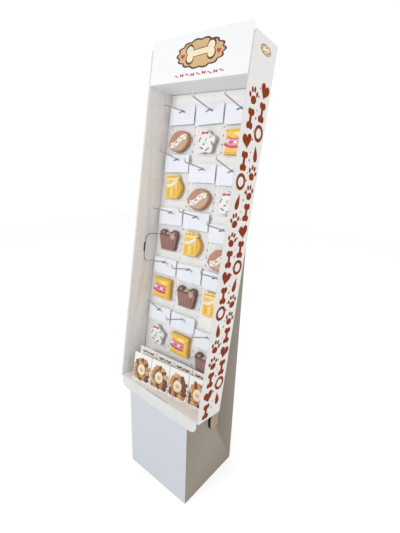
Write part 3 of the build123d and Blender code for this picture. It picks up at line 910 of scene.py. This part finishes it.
def pouch_bulge(x, z, height):
    """Half depth of a filled pouch at a point of its face: full near the foot, flat at the seals."""
    half, edge = pouch_seal / 2, pouch_width / 2
    seal_foot = height - pouch_seal_height
    side = max(0.0, min(1.0, (edge - abs(x)) / pouch_side_slope))
    side = side * side * (3 - 2 * side)
    share = max(0.0, min(1.0, z / seal_foot))
    belly_share, neck_share = 0.12, 0.62
    neck_full, belly_extra = 0.36, 0.14
    if share < belly_share:
        fullness = neck_full + belly_extra * share / belly_share
    elif share < neck_share:
        fullness = neck_full + belly_extra * (1 - ((share - belly_share) / (neck_share - belly_share)) ** 2)
    else:
        fullness = neck_full * (1 - ((share - neck_share) / (1 - neck_share)) ** 1.3)
    return half + max(0.0, pouch_depth * fullness - half) * side


def draped(mesh_data, outline, surface, material, lift):
    """A printed patch that follows a curved face, closed at its back."""
    cx = sum(x for x, _ in outline) / len(outline)
    cz = sum(z for _, z in outline) / len(outline)
    sink = 0.0004
    rings = []
    for share in (0.02, 0.35, 0.7, 1.0):
        spots = [(cx + (x - cx) * share, cz + (z - cz) * share) for x, z in outline]
        rings.append([Vector((x, -surface(x, z) - lift, z)) for x, z in spots])
    rings.append([Vector((x, -surface(x, z) + sink, z)) for x, z in outline])
    stack(mesh_data, rings, material)


def pouch(name, height, seed, front_row, matrix, node):
    """A stand-up pouch with a crimped top seal and soft dents. One in the front row shows its whole printed
    face, and one in the rear row only the marks near its top."""
    mesh_data = bmesh.new()
    columns, rows = 30, 40
    dent_depth, crimp_depth = 0.0003, 0.00012
    mark_pitch, mark_drop, mark_lift = 0.0165, 0.0145, 0.00015
    across = [pouch_width * (i / columns - 0.5) for i in range(columns + 1)]
    upward = [height * j / rows for j in range(rows + 1)]

    def surface(x, z):
        flat = pouch_bulge(x, z, height)
        dent = dent_depth * sin(130 * x + seed) * sin(75 * z + 2.1 * seed)
        crimp = crimp_depth * sin(2 * pi * z / crimp_pitch) if z > height - crimp_height else 0.0
        return max(pouch_seal / 2, flat + dent * (flat - pouch_seal / 2) / (pouch_depth / 2)) + crimp

    pillow(mesh_data, across, upward, surface)
    if front_row:
        pouch_picture(mesh_data, surface, seed)
    else:
        for index in range(3):
            stroke = wave(0.017, 0.0022, 1.5, 0.0044, 12)
            mark = moved(stroke, (index - 1) * mark_pitch, height - mark_drop, 4)
            draped(mesh_data, mark, surface, 1 if index == 1 else 2, mark_lift)
    films = [pouch_film, caramel_ink, brown_ink, cream_ink, tan_ink]
    return finish_piece(name, mesh_data, films, matrix, [node])


def pouch_picture(mesh_data, surface, seed):
    """A heap of biscuits that fills the lower face, behind an oval cream badge. Each row of the heap gives
    its height, the size and number of its biscuits and its shift."""
    heap_rows = ((0.014, 0.0095, 5, 0.0), (0.027, 0.0100, 5, 0.5), (0.041, 0.0100, 5, 0.0),
                 (0.055, 0.0100, 5, 0.5), (0.068, 0.0092, 4, 0.0), (0.078, 0.0080, 3, 0.5))
    biscuit_pitch, first_lift, lift_step = 0.0125, 0.00012, 0.000022
    order = (4, 1, 2, 1, 2, 1, 2)
    number = 0
    for z, size, count, shift in heap_rows:
        for place in range(count):
            x = (place - (count - 1) / 2 + 0.3 * (shift - 0.25)) * biscuit_pitch
            outline = blob(size, 5 + (number + seed) % 3, 0.16, 24)
            if (number + seed) % 3 == 0:
                outline = lens(2.3 * size, 1.5 * size, 8)
            patch = moved(outline, x, z + 0.0012 * sin(2.3 * number + seed), 47 * number + 25 * seed)
            ink = order[(number + 2 * seed) % len(order)]
            draped(mesh_data, patch, surface, ink, first_lift + lift_step * number)
            number += 1
    for half_width, half_height, ink, lift in ((0.0174, 0.0216, 2, 0.00086), (0.0163, 0.0205, 3, 0.00094)):
        draped(mesh_data, moved(ellipse(half_width, half_height, 32), 0, badge_height), surface, ink, lift)
    for step in (-1, 0, 1):
        stroke = wave(0.0150 - 0.004 * abs(step), 0.0009, 1.5, 0.0020, 12)
        mark = moved(stroke, 0, badge_height + 0.0052 * step)
        draped(mesh_data, mark, surface, 2 if step == 0 else 1, 0.00102)


def pouches():
    """Two slightly askew rows of pouches on the tray floor."""
    for row, (start, skew, height) in pouch_rows.items():
        turn = radians(skew)
        for index in range(pouches_in_row):
            along = (index + 0.5) * pouch_pitch
            spot = (start[0] + along * cos(turn), start[1] + along * sin(turn), tray_board)
            matrix = tray_frame @ Matrix.Translation(spot) @ Matrix.Rotation(turn, 4, "Z")
            seed = index + (rear_seed if row == "rear" else 0)
            place = f"{row}_{index + 1}"
            pouch(f"film_pouch_{place}", height, seed, row == "front", matrix, f"pouch_{place}")


# Stage, light and camera

floor_size = 9.0
floor_drop = 0.0006
floor_glow = 0.44
world_light = 0.62


def seen_directly(add):
    """One for rays from the camera and for those that gloss or glass sends on, else zero."""
    path = add("ShaderNodeLightPath")
    seen = reckon(add, "MAXIMUM", path.outputs["Is Camera Ray"], path.outputs["Is Glossy Ray"])
    return reckon(add, "MAXIMUM", seen, path.outputs["Is Transmission Ray"])


def studio_floor():
    """A pale floor that goes to white for the camera but keeps a soft shadow."""
    bpy.ops.mesh.primitive_plane_add(size=floor_size, location=(0, 0, -floor_drop))
    floor = bpy.context.object
    floor.name = "floor"
    material, tree, shader, add = new_material("floor_white")
    shader.inputs["Base Color"].default_value = (0.82, 0.82, 0.82, 1)
    shader.inputs["Roughness"].default_value = 0.9
    shader.inputs["Emission Color"].default_value = (1, 1, 1, 1)
    glow = reckon(add, "MULTIPLY", seen_directly(add), floor_glow)
    tree.links.new(glow, shader.inputs["Emission Strength"])
    floor.data.materials.append(material)


def studio_world():
    """An even world light, white where it is seen directly."""
    world = bpy.data.worlds.new("studio")
    bpy.context.scene.world = world
    world.use_nodes = True
    tree = world.node_tree
    add = node_adder(tree)
    background = tree.nodes["Background"]
    background.inputs["Color"].default_value = (1, 1, 1, 1)
    level = add("ShaderNodeMapRange", {3: world_light, 4: 1.0}, _0=seen_directly(add))
    tree.links.new(level.outputs[0], background.inputs["Strength"])


def lamp(name, place, target, size, power):
    """A square soft lamp that looks at its target."""
    data = bpy.data.lights.new(name, "AREA")
    data.size = size
    data.energy = power
    made = bpy.data.objects.new(name, data)
    made.location = place
    made.rotation_euler = (Vector(target) - Vector(place)).to_track_quat("-Z", "Y").to_euler()
    bpy.context.scene.collection.objects.link(made)


def camera():
    """The photograph's camera: its place, turn and field of view, for a frame of 400 by 533 pixels."""
    place = (0.6865, -0.7656, 1.1141)
    turn_degrees = (71.712, -1.976, 40.068)
    focal_pixels, image_width = 345.0, 400.0
    data = bpy.data.cameras.new("camera")
    data.sensor_fit = "HORIZONTAL"
    data.sensor_width = 36.0
    data.lens = data.sensor_width * focal_pixels / image_width
    made = bpy.data.objects.new("camera", data)
    made.location = place
    made.rotation_euler = [radians(turn) for turn in turn_degrees]
    bpy.context.scene.collection.objects.link(made)
    bpy.context.scene.camera = made


def dress_solids():
    """Finishes for the solids. Those without one of their own here are hidden behind finer pieces."""
    finishes = {"base_box": base_board, "tray": tray_board_look, "peg_panel": white_board,
                "header_card": white_card}
    for name, node in nodes.items():
        material = hanging_card if name.startswith("hang_card") else finishes.get(name, pouch_film)
        node.data.materials.clear()
        node.data.materials.append(material)


dress_solids()
side_print()
header_print()
lip_creases()
hooks()
packs()
pouches()
studio_floor()
studio_world()
lamp("key_lamp", (-0.6, -2.0, 1.6), (0, 0, 0.95), 0.8, 18.5)
lamp("fill_lamp", (2.4, 0.2, 1.5), (0, 0, 0.9), 1.6, 23.5)
camera()
bpy.context.scene.view_settings.view_transform = "Standard"

bpy.context.view_layer.update()
